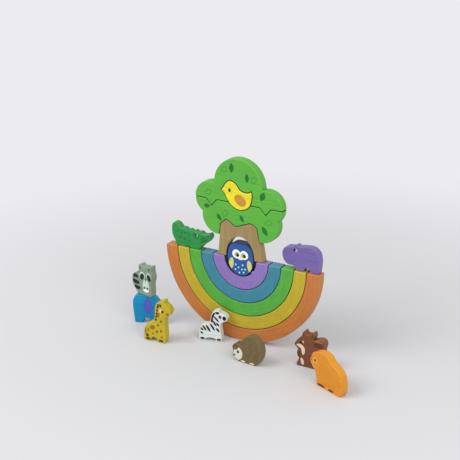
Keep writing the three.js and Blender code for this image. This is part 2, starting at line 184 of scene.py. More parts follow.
class MaterialSheet(ShaderSheet):
    """The nodes of one new material, with its surface shader."""

    def __init__(self, name: str) -> None:
        """Starts the material.

        Args:
            name: Name of the new material.
        """
        self.material = bpy.data.materials.new(name)
        super().__init__(self.material)
        self.surface = self.tree.nodes["Principled BSDF"]


class Grain(Enum):
    """How the streaks of the stain run."""

    ALONG = "along the block"
    UPRIGHT = "up the block"
    ROUND = "round the rainbow's middle"


class Level(Enum):
    """Ramps of the finishes: places on a pattern, each with the level that it gets."""

    PATCHES = ((0.42, 0.0), (0.62, 0.45))
    WALL = ((0.0, 0.8), (0.4, 0.0))
    PAINTED_WALL = ((0.75, 1.0), (0.97, 0.0))
    EDGE = ((0.15, 0.0), (0.5, 1.0), (0.8, 0.25), (0.97, 0.0))
    RUBBED = ((0.36, 0.25), (0.6, 1.0))
    OFF_SEAM = ((0.0, 1.0), (0.5, 0.0))
    SEAM_WALL = ((0.2, 1.0), (0.85, 0.0))
    SATIN = ((0.3, 0.08), (0.7, -0.06))
    INK_TONE = ((0.35, 0.9), (0.65, 1.08))
    INK_GLOSS = ((0.3, 0.48), (0.7, 0.38))


@dataclass(frozen=True)
class Lie:
    """How a block lies: its turn about the upright axis, its number and the rings' middle."""

    turn: float
    number: int
    middle: Vector


@dataclass(frozen=True)
class Stain:
    """Coloured stain on close-grained wood under a satin lacquer, with painted shade at its seams
    and some painted light on its walls and edges.
    """

    colour: Rgb
    grain: Grain = Grain.ALONG
    contrast: float = 0.13
    edge_wear_and_highlight: float = 0.35
    bare_and_lit_walls: float = 0.1
    # Level of the painted shade at the seams, as a share of the stain's colour.
    seam_shade: float = 0.2
    rim: Rgb | None = None
    roughness: float = 0.5
    streak_width: float = 1.5 * MM
    streak_length: float = 34 * MM
    streak_turns: float = 5.0
    streak_detail: float = 3.0
    streak_places: tuple[float, ...] = (0.34, 0.5, 0.66)
    streak_shift: tuple[float, ...] = (0.31, 0.17, 0.23)
    cloud_scale: float = 38.0
    patch_depth: float = 0.7
    rubbed_wood: float = 0.38
    pore_scale: float = 1500.0
    pore_depth: float = 0.4
    relief: float = 0.3
    relief_height: float = 0.12 * MM
    lacquer: float = 0.06
    lacquer_roughness: float = 0.3

    def paler(self, share: float) -> Rgb:
        """Mixes the stain with a share of the bare wood below it."""
        pairs = zip(self.colour, BARE_WOOD)
        return tuple(round((1 - share) * stain + share * wood) for stain, wood in pairs)

    def streaks(self, sheet: MaterialSheet, coords: Socket, lie: Lie) -> Socket:
        """Lays the coordinates that the streaks follow.

        Args:
            sheet: Material that is laid out.
            coords: The piece's own coordinates.
            lie: How the block lies.

        Returns:
            Coordinates with one cycle across each streak.
        """
        mapping = sheet.add("ShaderNodeMapping", {"Vector": coords}, vector_type="TEXTURE")
        if self.grain is not Grain.ROUND:
            lengths = (self.streak_length, self.streak_width, self.streak_width)
            sheet.feed(mapping, {
                "Location": tuple(shift * lie.number for shift in self.streak_shift),
                "Rotation": (0.0, 0.0, lie.turn),
                "Scale": lengths if self.grain is Grain.ALONG else lengths[::-1],
            })
            return mapping.outputs["Vector"]
        sheet.feed(mapping, {"Location": lie.middle})
        parts = sheet.add("ShaderNodeSeparateXYZ", {"Vector": mapping.outputs["Vector"]})
        right, back, up = parts.outputs
        down = sheet.times(up, -1.0)
        squares = sheet.math("ADD", sheet.times(right, right), sheet.times(down, down))
        across = 1 / self.streak_width
        return sheet.add("ShaderNodeCombineXYZ", {
            "X": sheet.times(sheet.math("SQRT", squares, 0.0), across),
            "Y": sheet.times(back, across),
            "Z": sheet.times(sheet.math("ARCTAN2", right, down), self.streak_turns),
        }).outputs["Vector"]

    def material(self, name: str, lie: Lie) -> bpy.types.Material:
        """Makes the finish for one block, with painted shade at its seams and some painted light
        on its walls and edges.

        Args:
            name: Name of the block.
            lie: How the block lies.

        Returns:
            The material.
        """
        sheet = MaterialSheet(f"stained_{name}")
        coords = sheet.coords()
        streak = sheet.noise(self.streaks(sheet, coords, lie), 1.0, self.streak_detail)
        cloud = sheet.noise(coords, self.cloud_scale)
        pores = sheet.noise(coords, self.pore_scale)
        facing, seam = (
            sheet.add("ShaderNodeAttribute", attribute_name=layer).outputs["Fac"]
            for layer in ("facing", "seam")
        )

        tones = (1 - self.contrast, 1.0, 1 + self.contrast)
        colour = sheet.ramp(streak, [
            (place, linear(self.colour, tone)) for place, tone in zip(self.streak_places, tones)
        ])
        patchy = sheet.level(cloud, Level.PATCHES.value)
        patch = linear(self.colour, 1 - self.patch_depth * self.contrast)
        colour = sheet.mix(patchy, colour, patch)
        # Paler walls: partly bare wood under a thinner stain, partly painted light on the side
        # faces. A block with a rim colour takes that on its walls instead.
        wall = sheet.level(facing, (Level.PAINTED_WALL if self.rim else Level.WALL).value)
        colour = sheet.mix(wall, colour, linear(self.rim or self.paler(self.bare_and_lit_walls)))
        # Pale edges: partly rubbed wear, partly a painted highlight along the rounded edges, in
        # patches and kept off the seams.
        edge = sheet.level(facing, Level.EDGE.value)
        rubbed_and_lit_patches = sheet.level(cloud, Level.RUBBED.value)
        worn_and_lit = sheet.times(sheet.times(edge, rubbed_and_lit_patches), self.edge_wear_and_highlight)
        worn_and_lit = sheet.times(worn_and_lit, sheet.level(seam, Level.OFF_SEAM.value))
        colour = sheet.mix(worn_and_lit, colour, linear(self.paler(self.rubbed_wood)))
        # Painted shade: walls near another block are darkened for the shade in the narrow gaps
        # between blocks, together with the darker sawn walls there.
        shade = sheet.times(seam, sheet.level(facing, Level.SEAM_WALL.value))
        colour = sheet.mix(shade, colour, linear(self.colour, self.seam_shade))

        satin = [(place, self.roughness + change) for place, change in Level.SATIN.value]
        relief = sheet.math("ADD", sheet.times(pores, self.pore_depth), streak)
        sheet.feed(sheet.surface, {
            "Base Color": colour,
            "Roughness": sheet.level(streak, satin),
            "Coat Weight": self.lacquer,
            "Coat Roughness": self.lacquer_roughness,
            "Specular IOR Level": SPECULAR,
            "Normal": sheet.bump(relief, self.relief, self.relief_height),
        })
        return sheet.material


class Ink(Enum):
    """Printing inks, with the colour each has on the wood."""

    BLACK = (26, 30, 28)
    SOOT = (50, 58, 54)
    WHITE = (240, 242, 240)
    LEAF = (22, 112, 40)
    LEAF_LINE = (58, 138, 46)
    WING = (196, 140, 46)
    BEAK = (226, 196, 128)
    MOSS = (202, 204, 116)
    IRIS = (192, 180, 126)
    SPECK = (186, 220, 246)
    BROWN = (78, 54, 16)
    SPOT = (156, 104, 20)
    EAR = (70, 98, 190)
    PALE_FUR = (226, 202, 182)
    TAN_FUR = (158, 104, 78)
    DARK_FUR = (78, 44, 38)
    PALE_FACE = (212, 210, 200)
    CREAM = (224, 214, 176)
    PALE_GREY = (194, 214, 202)
    MINT = (122, 200, 140)
    DARK_GREEN = (16, 86, 44)
    LILAC = (176, 162, 228)
    DARK_PURPLE = (96, 78, 146)
    PALE_ORANGE = (236, 172, 84)
    DARK_ORANGE = (128, 68, 10)
    QUILL = (94, 80, 50)
    PALE_QUILL = (128, 114, 80)

    def material(self) -> bpy.types.Material:
        """Makes the ink, or finds it if a block before has it.

        Returns:
            The material.
        """
        name = f"ink_{self.name.lower()}"
        known = bpy.data.materials.get(name)
        if known:
            return known
        sheet = MaterialSheet(name)
        mottle = sheet.noise(sheet.coords(), scale=420.0, detail=3.0)
        tones = [(place, linear(self.value, tone)) for place, tone in Level.INK_TONE.value]
        sheet.feed(sheet.surface, {
            "Base Color": sheet.ramp(mottle, tones),
            "Roughness": sheet.level(mottle, Level.INK_GLOSS.value),
            "Specular IOR Level": SPECULAR,
            "Normal": sheet.bump(mottle, strength=0.2, distance=0.05 * MM),
        })
        return sheet.material


@dataclass(frozen=True)
class Face:
    """The flat of a block: where it lies, which way it looks and how large it is."""

    corner: Vector
    along: Vector
    front: Vector
    length: float
    height: float
    thickness: float
    datum: Vector | None

    def point(self, place: Point, out: float) -> Vector:
        """Finds a point by metres along, up and in front of the block's middle plane."""
        return self.corner + self.along * place[0] + UP * place[1] + self.front * out

    def spot(self, where: Point) -> Point:
        """Turns the place of a mark into metres from the lower left corner.

        Args:
            where: Shares of the block's length and height, or millimetres from the datum
                where the block has one.

        Returns:
            Metres along and up.
        """
        if self.datum is None:
            return (where[0] * self.length, where[1] * self.height)
        offset = self.datum - self.corner
        return (offset.dot(self.along) + where[0] * MM, offset.z + where[1] * MM)


@dataclass(frozen=True)
class Mark:
    """One printed mark. Marks of a higher layer lie over the lower ones."""

    ink: Ink
    layer: int = field(default=0, kw_only=True)

    def rim(self, face: Face) -> list[Point]:
        """Gives the mark's outline in metres on the face."""
        raise NotImplementedError


Marks = tuple[Mark, ...]


@dataclass(frozen=True)
class Dot(Mark):
    """An oval, with its half width and half height in millimetres and its tilt in degrees."""

    STEPS = 36
    SMALL = 1.5
    SMALL_STEPS = 16

    at: Point
    half: Point
    tilt: float = 0.0

    def rim(self, face: Face) -> list[Point]:
        """Walks round the oval.

        Args:
            face: The face that is printed.

        Returns:
            Points in metres on the face.
        """
        x, y = face.spot(self.at)
        cos, sin = math.cos(math.radians(self.tilt)), math.sin(math.radians(self.tilt))
        count = self.SMALL_STEPS if max(self.half) < self.SMALL else self.STEPS
        points = []
        for step in range(count):
            angle = 2 * math.pi * step / count
            a, b = self.half[0] * MM * math.cos(angle), self.half[1] * MM * math.sin(angle)
            points.append((x + a * cos - b * sin, y + a * sin + b * cos))
        return points


class Tip(Enum):
    """How a brush stroke narrows to its ends: the power of its swelling."""

    LEAF = 0.9
    BRUSH = 0.5
    LINE = 0.18


@dataclass(frozen=True)
class Stroke(Mark):
    """A brush stroke through a few points, with its width in millimetres."""

    CURVE_STEPS = 8
    STRAIGHT_STEPS = 16

    path: tuple[Point, ...]
    width: float
    tip: Tip = Tip.BRUSH

    def rim(self, face: Face) -> list[Point]:
        """Walks down one side of the stroke and back up the other.

        Args:
            face: The face that is printed.

        Returns:
            Points in metres on the face.
        """
        steps = self.CURVE_STEPS if len(self.path) > 2 else self.STRAIGHT_STEPS
        line = flowing([face.spot(point) for point in self.path], steps)
        last = len(line) - 1
        left, right = [], []
        for index in range(1, last):
            ahead = Vector(line[index + 1]) - Vector(line[index - 1])
            side = Vector((-ahead.y, ahead.x)).normalized()
            half = 0.5 * self.width * MM * math.sin(math.pi * index / last) ** self.tip.value
            left.append(tuple(Vector(line[index]) + side * half))
            right.append(tuple(Vector(line[index]) - side * half))
        return [line[0], *right, line[last], *reversed(left)]


def flowing(points: list[Point], steps: int) -> list[Point]:
    """Draws a smooth line through a few points.

    Args:
        points: Points to pass through.
        steps: Pieces between two of them.

    Returns:
        The finer line, from the first point to the last.
    """
    line = [Vector(point) for point in points]
    line = [2 * line[0] - line[1], *line, 2 * line[-1] - line[-2]]
    finer = []
    for a, b, c, d in zip(line, line[1:], line[2:], line[3:]):
        bend, twist = 2 * a - 5 * b + 4 * c - d, 3 * b - a - 3 * c + d
        for step in range(steps):
            t = step / steps
            finer.append(tuple(0.5 * (2 * b + (c - a) * t + bend * t**2 + twist * t**3)))
    finer.append(tuple(line[-2]))
    return finer


def leaf(at: Point, tilt: float, size: Point | None = None) -> Marks:
    """Makes a leaf: filled where it has a size, and else only drawn, by two bowed lines.

    Args:
        at: Millimetres from the rings' middle.
        tilt: Degrees anticlockwise from lying flat.
        size: Millimetres from tip to tip and across.

    Returns:
        The marks.
    """
    drawn_size, line = (11.0, 6.4), 0.8
    length, width = size or drawn_size
    (x, y), angle = at, math.radians(tilt)
    dx, dy = length / 2 * math.cos(angle), length / 2 * math.sin(angle)
    start, end = (x - dx, y - dy), (x + dx, y + dy)
    if size:
        return (Stroke(Ink.LEAF, (start, end), width, Tip.LEAF),)
    bow = width / length
    bellies = ((x - side * bow * dy, y + side * bow * dx) for side in (1, -1))
    return tuple(Stroke(Ink.LEAF_LINE, (start, belly, end), line, Tip.LINE) for belly in bellies)


def owl_half(side: int) -> Marks:
    """Makes an eye and a wing of the owl.

    Args:
        side: -1 on the left and 1 on the right.

    Returns:
        The marks.
    """
    return (
        Dot(Ink.WHITE, (5.5 * side, 6.0), (5.9, 5.8)),
        Dot(Ink.IRIS, (4.6 * side - 0.3, 5.4), (3.3, 3.4), layer=1),
        Dot(Ink.BLACK, (4.8 * side + 1.2, 4.8), (2.1, 2.4), layer=2),
        # A tiny white glint on the pupil: a painted highlight.
        Dot(Ink.WHITE, (4.8 * side + 2.0, 5.9), (0.3, 0.3), layer=3),
        Dot(Ink.MOSS, (13.2 * side, -7.6), (3.4, 8.0), 9 * side),
    )


def wrinkle(angle: float) -> Mark:
    """Makes a short line beside the crocodile's eye.

    Args:
        angle: Degrees anticlockwise from the eye's right.

    Returns:
        The mark.
    """
    at, size, reaches, width = (0.635, 0.62), (58, 30), (3.0, 4.6), 1.0
    cos, sin = math.cos(math.radians(angle)), math.sin(math.radians(angle))
    ends = ((at[0] + r * cos / size[0], at[1] + r * sin / size[1]) for r in reaches)
    return Stroke(Ink.DARK_GREEN, tuple(ends), width, Tip.LINE)


def eye(at: Point, radius: float) -> Marks:
    """Makes a black eye with a glint.

    Args:
        at: Shares of the block's length and height.
        radius: Half its height in millimetres.

    Returns:
        The marks.
    """
    glint = (at[0] + 0.016, at[1] + 0.02)
    return (
        Dot(Ink.BLACK, at, (0.85 * radius, radius), layer=3),
        Dot(Ink.WHITE, glint, (0.13 * radius, 0.13 * radius), layer=4),
    )


def quills() -> Marks:
    """Makes the hedgehog's quills, in staggered rows within an oval.

    Returns:
        The marks.
    """
    rows, columns, first, pitch, stagger = 6, 5, (0.40, 0.20), (0.115, 0.125), 0.055
    middle, half, lean, width = (0.60, 0.47), (0.30, 0.40), (0.045, 0.07), 1.0
    marks: list[Mark] = []
    for row in range(rows):
        for column in range(columns):
            u, v = first[0] + pitch[0] * column, first[1] + pitch[1] * row
            if ((u - middle[0]) / half[0]) ** 2 + ((v - middle[1]) / half[1]) ** 2 < 1:
                u += stagger * (row % 2)
                ink = Ink.QUILL if len(marks) % 2 else Ink.PALE_QUILL
                marks.append(Stroke(ink, ((u, v), (u + lean[0], v + lean[1])), width))
    return tuple(marks)


# The marks of each printed block. They lie at shares of the block's length and height, and on the
# crown and the owl at millimetres from the rings' middle.
PRINTS: dict[str, Marks] = {
    "crown_lower": (
        *leaf((-47.5, 61.7), 2, (9, 5.6)),
        *leaf((-30, 49.7), 128, (10.5, 5.2)),
        *leaf((2.7, 53), 120, (10.5, 5)),
        *leaf((34.9, 42.8), 124, (13.5, 6.4)),
        *leaf((-21, 56.2), 60),
        *leaf((40.3, 54.4), 10),
    ),
    "crown_upper": (
        *leaf((-11, 116), 89, (13, 6.4)),
        *leaf((10.7, 106), 92, (11.5, 5.4)),
        *leaf((32.2, 86.2), 68, (12.5, 7.4)),
        *leaf((-21.6, 112.5), 40),
        *leaf((20.4, 104.8), 60),
        *leaf((-45, 80), 20),
    ),
    "bird": (
        Dot(Ink.WING, (0.63, 0.36), (8.8, 6.6), -32),
        Dot(Ink.BLACK, (0.286, 0.676), (1.8, 2.5)),
        # A tiny white glint on the eye: a painted highlight.
        Dot(Ink.WHITE, (0.30, 0.715), (0.35, 0.4), layer=1),
        Dot(Ink.BEAK, (0.09, 0.645), (1.6, 1.5)),
    ),
    "owl": (
        *owl_half(-1),
        *owl_half(1),
        Dot(Ink.WHITE, (0.3, 2.7), (4.8, 3.7)),
        Dot(Ink.CREAM, (0.2, 2.0), (1.1, 1.8), layer=1),
        *(Dot(Ink.SPECK, at, (1.15, 1.25)) for at in (
            (-6.6, -8.2), (3.4, -7.4), (-2.6, -11.3), (-7.2, -14.6),
            (2.4, -13.2), (6.9, -12.4), (-1.5, -18), (4.6, -17),
        )),
    ),
    "crocodile": (
        Dot(Ink.MINT, (0.654, 0.62), (1.6, 1.9)),
        Dot(Ink.BLACK, (0.632, 0.625), (1.2, 1.8), layer=1),
        *map(wrinkle, (20, 45, 155, 185, 210, 235, 260, 285, 310, 335)),
        *(
            Stroke(
                Ink.DARK_GREEN, ((u, v + 0.06), (u + 0.018, v), (u + 0.036, v + 0.06)),
                0.8, Tip.LINE,
            )
            for u, v in (
                (0.14, 0.62), (0.24, 0.55), (0.34, 0.6), (0.44, 0.52),
                (0.2, 0.36), (0.32, 0.33), (0.44, 0.3),
            )
        ),
        Stroke(
            Ink.DARK_GREEN, ((0.72, 0.30), (0.80, 0.37), (0.88, 0.46), (0.94, 0.56)), 1.2, Tip.LINE
        ),
        Stroke(Ink.DARK_GREEN, ((0.75, 0.55), (0.82, 0.54), (0.89, 0.57)), 1.1),
        Stroke(Ink.DARK_GREEN, ((0.74, 0.47), (0.79, 0.46), (0.85, 0.48)), 1.1),
        Dot(Ink.DARK_GREEN, (0.945, 0.675), (1.2, 0.8), -20),
    ),
    "hippo": (
        Dot(Ink.BLACK, (0.34, 0.80), (1.6, 2.1), layer=1),
        Dot(Ink.LILAC, (0.38, 0.79), (1.7, 1.9)),
        Stroke(
            Ink.DARK_PURPLE, ((0.09, 0.40), (0.2, 0.33), (0.31, 0.36), (0.38, 0.45)), 0.7, Tip.LINE
        ),
        Dot(Ink.DARK_PURPLE, (0.11, 0.66), (0.9, 0.7), 30),
    ),
    "elephant": (Dot(Ink.EAR, (0.46, 0.60), (6.8, 11.2)), *eye((0.80, 0.55), 1.3)),
    "raccoon": (
        Dot(Ink.PALE_GREY, (0.69, 0.34), (5.6, 8.6)),
        Dot(Ink.PALE_GREY, (0.525, 0.645), (4.9, 5.5), -24),
        Dot(Ink.PALE_GREY, (0.845, 0.65), (4.0, 5.5), 14),
        Dot(Ink.WHITE, (0.69, 0.185), (4.8, 2.6), layer=1),
        Dot(Ink.BLACK, (0.52, 0.615), (3.6, 4.5), -24, layer=1),
        Dot(Ink.BLACK, (0.855, 0.625), (3.3, 4.7), 18, layer=1),
        *(Dot(Ink.SOOT, (u, 0.64), (0.9, 1.2), layer=2) for u in (0.535, 0.85)),
        Dot(Ink.SOOT, (0.69, 0.53), (0.9, 2.0), layer=2),
        *(Dot(Ink.SOOT, (u, 0.26), (1.5, 1.6), layer=2) for u in (0.625, 0.755)),
        *(Dot(Ink.SOOT, (u, 0.895), (1.2, 1.7)) for u in (0.44, 0.87)),
        Stroke(Ink.BLACK, ((0.08, 0.555), (0.19, 0.60), (0.325, 0.56)), 5.0, Tip.LINE),
        Stroke(Ink.BLACK, ((0.05, 0.435), (0.19, 0.39), (0.375, 0.375)), 5.4, Tip.LINE),
        Stroke(Ink.BLACK, ((0.135, 0.255), (0.25, 0.21), (0.41, 0.22)), 5.0, Tip.LINE),
    ),
    "giraffe": (
        *(Dot(Ink.SPOT, (u, v), (wide, 0.75 * wide), tilt) for u, v, wide, tilt in (
            (0.33, 0.335, 4.0, 20), (0.17, 0.26, 1.9, 70), (0.49, 0.25, 2.4, 60),
            (0.64, 0.28, 2.4, 85), (0.54, 0.41, 2.2, 60), (0.65, 0.51, 2.3, 80),
            (0.55, 0.65, 3.2, 80), (0.34, 0.19, 1.7, 10), (0.66, 0.14, 1.8, 70),
        )),
        *(
            Dot(Ink.BROWN, (0.463 + 0.02 * row, 0.53 + 0.074 * row), (1.4, 1.75), -8)
            for row in range(5)
        ),
        *(Stroke(Ink.BROWN, ((u, 0.915), (u + 0.03, 0.835)), 2.7) for u in (0.555, 0.635)),
        Stroke(Ink.BROWN, ((0.075, 0.30), (0.075, 0.2), (0.13, 0.12)), 1.0, Tip.LINE),
        Dot(Ink.BROWN, (0.13, 0.125), (2.0, 2.3), 30),
        Dot(Ink.CREAM, (0.66, 0.755), (2.4, 2.2)),
        *eye((0.715, 0.745), 2.0),
        Dot(Ink.SPOT, (0.90, 0.705), (2.4, 1.9), 40),
        *(
            Stroke(Ink.BROWN, ((u, 0.05), (u + 0.17, 0.05)), 3.0, Tip.LINE)
            for u in (0.065, 0.545)
        ),
    ),
    "zebra": (
        *(Stroke(Ink.BLACK, (start, end), width) for start, end, width in (
            ((0.05, 0.265), (0.16, 0.22), 2.4), ((0.055, 0.405), (0.175, 0.315), 2.4),
            ((0.135, 0.485), (0.27, 0.32), 2.7), ((0.26, 0.505), (0.41, 0.29), 3.0),
            ((0.40, 0.565), (0.565, 0.34), 2.8), ((0.49, 0.67), (0.625, 0.49), 2.7),
            ((0.54, 0.80), (0.71, 0.635), 2.5), ((0.62, 0.60), (0.72, 0.495), 2.6),
            ((0.61, 0.435), (0.72, 0.315), 2.8),
        )),
        Stroke(Ink.BLACK, ((0.45, 0.60), (0.475, 0.765), (0.565, 0.925)), 3.6, Tip.LINE),
        Dot(Ink.BLACK, (0.655, 0.92), (2.8, 1.9), -10),
        Dot(Ink.BLACK, (0.90, 0.765), (2.5, 2.9)),
        *eye((0.755, 0.80), 2.2),
        *(Dot(Ink.BLACK, (u, 0.065), (3.1, 1.5)) for u in (0.125, 0.70)),
    ),
    "hedgehog": (
        *quills(),
        Dot(Ink.CREAM, (0.205, 0.275), (6.4, 8.2), -8),
        Dot(Ink.PALE_FACE, (0.185, 0.27), (5.9, 7.4), -8, layer=1),
        *eye((0.205, 0.34), 2.1),
        Dot(Ink.BLACK, (0.085, 0.205), (1.2, 1.1), layer=2),
        Dot(Ink.BROWN, (0.125, 0.485), (3.2, 3.3), layer=2),
        Dot(Ink.PALE_QUILL, (0.125, 0.485), (1.6, 1.8), layer=3),
        *(
            Stroke(Ink.CREAM, ((u, 0.055), (u + 0.15, 0.055)), 1.9, Tip.LINE)
            for u in (0.30, 0.60)
        ),
    ),
    "squirrel": (
        Stroke(
            Ink.PALE_FUR,
            ((0.07, 0.585), (0.18, 0.58), (0.275, 0.52), (0.295, 0.42), (0.285, 0.33)), 5.0,
        ),
        Stroke(Ink.PALE_FUR, ((0.225, 0.24), (0.265, 0.15), (0.285, 0.05)), 4.4),
        *eye((0.225, 0.68), 1.9),
        Dot(Ink.PALE_FUR, (0.29, 0.70), (0.8, 1.8), 10),
        Dot(Ink.BLACK, (0.05, 0.61), (0.9, 0.9), layer=1),
        Stroke(Ink.TAN_FUR, ((0.66, 0.785), (0.80, 0.805), (0.935, 0.775)), 2.8),
        Stroke(Ink.DARK_FUR, ((0.62, 0.715), (0.78, 0.725), (0.94, 0.70)), 2.0),
        Stroke(Ink.DARK_FUR, ((0.62, 0.655), (0.78, 0.665), (0.94, 0.63)), 2.0),
        Stroke(Ink.DARK_FUR, ((0.17, 0.43), (0.15, 0.33), (0.20, 0.27)), 2.0),
        *(Stroke(Ink.DARK_FUR, ((u, 0.87), (u + 0.01, 0.955)), 1.4) for u in (0.30, 0.59)),
    ),
    "lion": (
        Dot(Ink.PALE_ORANGE, (0.17, 0.69), (3.5, 3.7)),
        Dot(Ink.DARK_ORANGE, (0.17, 0.69), (1.9, 2.1), layer=1),
        Dot(Ink.DARK_ORANGE, (0.05, 0.66), (1.0, 1.0)),
        Stroke(Ink.PALE_ORANGE, ((0.05, 0.60), (0.09, 0.53), (0.15, 0.46)), 1.8),
        *(
            Stroke(Ink.BROWN, ((u, 0.06), (u + length, 0.06)), 2.8, Tip.LINE)
            for u, length in ((0.255, 0.23), (0.60, 0.16))
        ),
    ),
}


def turn_at(points: list[Point], index: int) -> float:
    """Measures how far a closed line turns at one of its points.

    Args:
        points: The line, walked anticlockwise.
        index: Which point.

    Returns:
        The angle in radians, positive at an outer corner.
    """
    here = Vector(points[index])
    into = here - Vector(points[index - 1])
    out = Vector(points[(index + 1) % len(points)]) - here
    return math.atan2(into.x * out.y - into.y * out.x, into.dot(out))


def extrude(bm: bmesh.types.BMesh, rim: list[Vector], move: Vector, slot: int = 0) -> None:
    """Fills a closed line and extrudes it to a plate.

    Args:
        bm: The mesh that gets the plate.
        rim: The line.
        move: Way from the line to the plate's other side.
        slot: Material slot of the plate.
    """
    base = bm.faces.new([bm.verts.new(point) for point in rim])
    base.material_index = slot
    grown = bmesh.ops.extrude_face_region(bm, geom=[base])
    moved = [item for item in grown["geom"] if isinstance(item, bmesh.types.BMVert)]
    bmesh.ops.translate(bm, verts=moved, vec=move)


def placed(bm: bmesh.types.BMesh, name: str) -> bpy.types.Object:
    """Turns a finished mesh into a piece of the scene, frees it and reports the piece.

    Args:
        bm: The mesh.
        name: Name of the piece.

    Returns:
        The piece.
    """
    mesh = bpy.data.meshes.new(name)
    bm.to_mesh(mesh)
    bm.free()
    piece = bpy.data.objects.new(name, mesh)
    bpy.context.collection.objects.link(piece)
    log.info("%s: %d faces", name, len(mesh.polygons))
    return piece


class Contacts:
    """Finds where the walls of a few blocks meet, for the painted shade at the seams."""

    def __init__(self, reach: dict[str, float]) -> None:
        """Takes the blocks from the frame.

        Args:
            reach: The blocks that fit together, each with the distance that counts as a seam.
        """
        self.reach = reach
        self.trees = {}
        for name in reach:
            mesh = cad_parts[name].data
            faces = [tuple(face.vertices) for face in mesh.polygons]
            self.trees[name] = BVHTree.FromPolygons([vert.co for vert in mesh.vertices], faces)

    def meet(self, node: str, point: Vector) -> bool:
        """Tells whether a point of one block lies within reach of another block."""
        others = ((tree, self.reach[name]) for name, tree in self.trees.items() if name != node)
        return any(tree.find_nearest(point, reach)[0] is not None for tree, reach in others)


@dataclass
class Block:
    """One wooden block, with rounded-over edges, its stain and the marks on both faces."""

    node: str
    stain: Stain
    rounding: float
    datum: Vector | None = None
    swell: float = 0.0
    rounding_steps: int = 5
    corner_turn: float = 0.6
    corner_room: float = 1.9
    straight_turn: float = 0.004
    wall_slope: float = 0.1
    foot: float = 0.02 * MM
    softenings: int = 2
    soft_share: float = 0.25
    ink_depth: float = 0.05 * MM
    ink_layer: float = 0.05 * MM
    ink_step: float = 0.003 * MM
    ink_margin: float = 0.85
    on_edge: float = 0.01
    face: Face = field(init=False)
    outline: list[Point] = field(init=False)

    @property
    def marks(self) -> Marks:
        """Looks up the marks that are printed on the block."""
        return PRINTS.get(self.node, ())

    def cut(self) -> tuple[Face, list[Point]]:
        """Cuts the frame's node through its middle plane.

        Returns:
            The block's face and its outline, anticlockwise, in metres from the lower left corner.
        """
        bm = bmesh.new()
        bm.from_mesh(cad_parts[self.node].data)
        bmesh.ops.remove_doubles(bm, verts=bm.verts, dist=WELD)
        walls = [face for face in bm.faces if abs(face.normal.z) < self.wall_slope]
        widest = max(walls, key=lambda face: face.calc_area())
        front = widest.normal if widest.normal.y < 0 else -widest.normal
        front = Vector((front.x, front.y, 0.0)).normalized()
        along = UP.cross(front)
        depths = [vert.co.dot(front) for vert in bm.verts]
        middle = (min(depths) + max(depths)) / 2
        bmesh.ops.bisect_plane(
            bm, geom=[*bm.verts, *bm.edges, *bm.faces], dist=WELD,
            plane_co=front * middle, plane_no=front, clear_inner=True, clear_outer=True,
        )
        bm.verts.ensure_lookup_table()
        vert = bm.verts[0]
        edge = vert.link_edges[0]
        loop = []
        while len(loop) < len(bm.verts):
            loop.append((vert.co.dot(along), vert.co.z))
            vert = edge.other_vert(vert)
            edge = next(other for other in vert.link_edges if other is not edge)
        bm.free()
        left, bottom = (min(point[axis] for point in loop) for axis in (0, 1))
        right, top = (max(point[axis] for point in loop) for axis in (0, 1))
        corner = along * left + front * middle + UP * bottom
        thickness = max(depths) - min(depths)
        face = Face(corner, along, front, right - left, top - bottom, thickness, self.datum)
        loop = [(x - left, y - bottom) for x, y in loop]
        area = sum(a[0] * b[1] - a[1] * b[0] for a, b in zip(loop, loop[1:] + loop[:1]))
        return face, loop if area > 0 else loop[::-1]

    def soften(self, loop: list[Point]) -> list[Point]:
        """Rounds the facets of an outline off, and leaves its corners and its foot as they are.

        Args:
            loop: The outline that was cut.

        Returns:
            A finer outline.
        """
        turns = [abs(turn_at(loop, index)) for index in range(len(loop))]
        loop = [point for point, turn in zip(loop, turns) if turn > self.straight_turn]
        corners = {
            point for index, point in enumerate(loop)
            if abs(turn_at(loop, index)) > self.corner_turn or point[1] < self.foot
        }
        for _ in range(self.softenings):
            finer = []
            for a, b in zip(loop, loop[1:] + loop[:1]):
                if a in corners:
                    finer.append(a)
                for share, end in ((self.soft_share, a), (1 - self.soft_share, b)):
                    if end not in corners:
                        finer.append(tuple(Vector(a).lerp(Vector(b), share)))
            loop = finer
        clear = self.corner_room * self.rounding
        return [
            point for point in loop
            if point in corners or all(math.dist(point, corner) > clear for corner in corners)
        ]

    def swollen(self, loop: list[Point]) -> list[Point]:
        """Grows an outline evenly, but not below its foot.

        Args:
            loop: The outline, anticlockwise.

        Returns:
            The outline moved outwards by the swell.
        """
        grown = []
        for index, point in enumerate(loop):
            here = Vector(point)
            into = (here - Vector(loop[index - 1])).normalized()
            out = (Vector(loop[(index + 1) % len(loop)]) - here).normalized()
            normal = Vector((into.y + out.y, -into.x - out.x))
            move = normal * self.swell / (1 + into.dot(out))
            grown.append((point[0] + move.x, max(0.0, point[1] + move.y)))
        return grown

    def build(self, contacts: Contacts) -> bpy.types.Object:
        """Models the block from its outline.

        Args:
            contacts: The blocks that it fits together with.

        Returns:
            The block, which stands for its node.
        """
        self.face, loop = self.cut()
        self.outline = self.swollen(self.soften(loop))
        back = -self.face.thickness / 2
        bm = bmesh.new()
        rim = [self.face.point(point, back) for point in self.outline]
        extrude(bm, rim, self.face.front * self.face.thickness)
        bmesh.ops.recalc_face_normals(bm, faces=bm.faces)
        bmesh.ops.bevel(
            bm, geom=[edge for edge in bm.edges if self.is_rounded(edge)], offset=self.rounding,
            offset_type="OFFSET", segments=self.rounding_steps, profile=0.5, affect="EDGES",
            clamp_overlap=False, material=-1,
        )
        bmesh.ops.recalc_face_normals(bm, faces=bm.faces)
        self.shade(bm, contacts)
        piece = placed(bm, f"{self.node}_wood")
        flat = piece.modifiers.new("flat_faces", "WEIGHTED_NORMAL")
        flat.keep_sharp = True
        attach(piece, self.node)
        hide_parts(self.node)
        return piece

